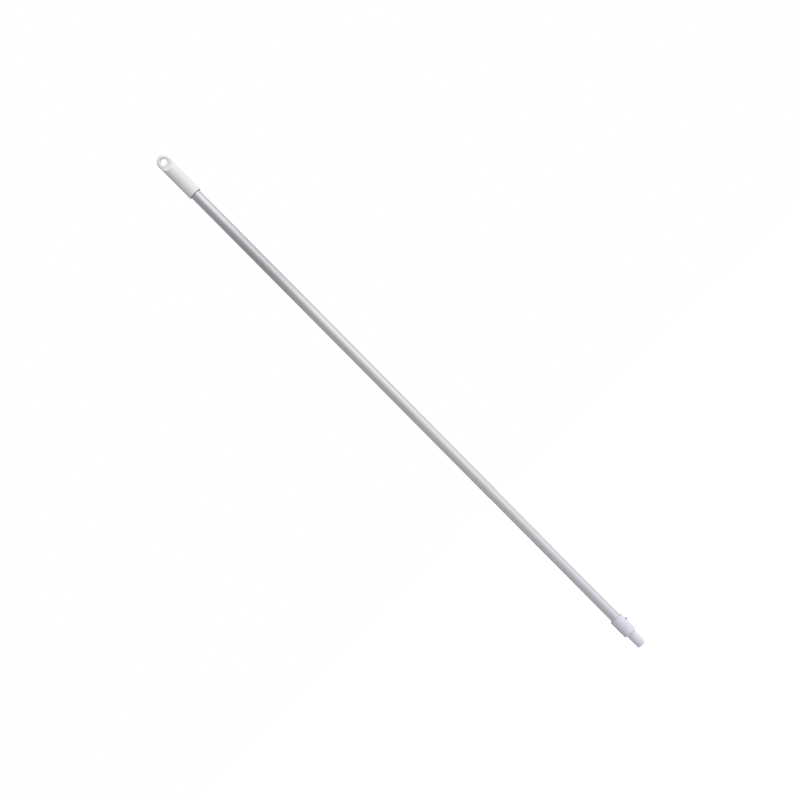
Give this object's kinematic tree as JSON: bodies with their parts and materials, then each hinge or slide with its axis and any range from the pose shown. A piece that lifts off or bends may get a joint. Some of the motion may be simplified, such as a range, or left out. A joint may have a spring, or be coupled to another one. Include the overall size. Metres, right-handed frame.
{
  "type": "tool pole",
  "caption": "Straight aluminium tool pole: round tube, moulded hand grip with a hanging eye, and a snap-button end fitting with a shoulder and a spigot for a tool.",
  "frame": {"origin": "centre of the end fitting's shoulder, where a tool's socket comes to rest", "axes": "+Z along the pole towards the grip, +X towards the snap button, -Y and +Y out of the tongue's two flats, along the hanging eye"},
  "size_m": [0.031, 0.0288, 1.3716],
  "materials": {
    "grip_plastic": "fine moulded grain",
    "fitting_plastic": "fine moulded grain",
    "tube_aluminium": "satin anodised, drawn lengthwise",
    "button_steel": "dull",
    "spring_steel": "rolled",
    "rivet_aluminium": "plain"
  },
  "bodies": {
    "pole": {"hand_grip": "grip_plastic", "grip_rivet": "rivet_aluminium", "shaft_tube": "tube_aluminium", "end_fitting": "fitting_plastic", "spring_clip": "spring_steel"},
    "button": {"snap_button": "button_steel"}
  },
  "joints": [
    {"name": "button_press", "type": "slide", "parent": "pole", "child": "button", "axis": [-1, 0, 0], "range_m": [0, 0.006], "stiffness_N_per_m": 2000, "springref_m": -0.003, "deforming": ["spring_clip"]}
  ]
}
